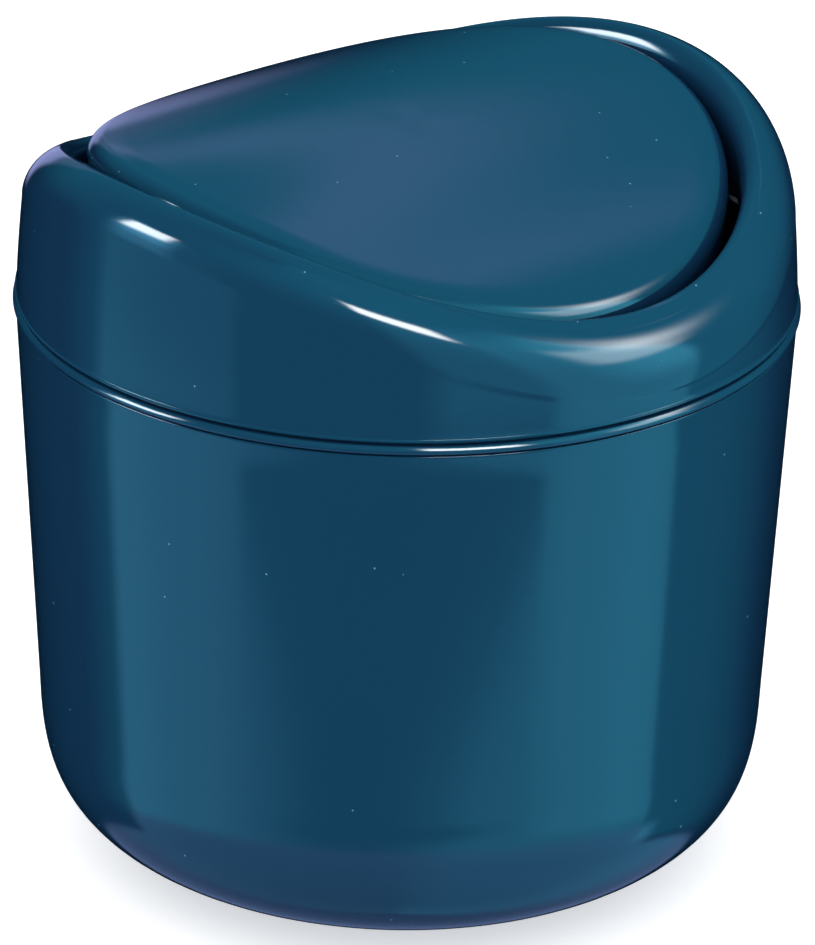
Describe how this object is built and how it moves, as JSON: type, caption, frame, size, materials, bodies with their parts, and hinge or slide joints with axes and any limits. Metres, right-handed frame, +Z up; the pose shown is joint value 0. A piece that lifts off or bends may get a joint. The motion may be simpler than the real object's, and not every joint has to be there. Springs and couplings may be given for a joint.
{
  "type": "countertop trash can",
  "caption": "Round countertop trash can: a tapered bucket with a deep rounded bottom corner, a beaded rim ring and an arched collar whose round flap swings both ways on stub axles.",
  "frame": {"origin": "middle of the base, on the surface that the bin stands on", "axes": "+Z up, +X along the flap's swing axle, -Y towards one of the two low sides of the arched mouth"},
  "size_m": [0.1586, 0.1586, 0.1576],
  "materials": {
    "body_plastic": "gloss",
    "rim_ring_plastic": "gloss",
    "collar_plastic": "gloss",
    "flap_plastic": "gloss"
  },
  "bodies": {
    "bin": {"body": "body_plastic"},
    "lid": {"rim_ring": "rim_ring_plastic", "collar": "collar_plastic"},
    "flap": {"flap": "flap_plastic"}
  },
  "joints": [
    {"name": "lid_lift", "type": "slide", "parent": "bin", "child": "lid", "axis": [0, 0, 1], "range_m": [0, 0.1]},
    {"name": "flap_swing", "type": "hinge", "parent": "lid", "child": "flap", "pos_m": [0, 0, 0.1504], "axis": [1, 0, 0], "range_deg": [-73.5, 66.5]}
  ]
}
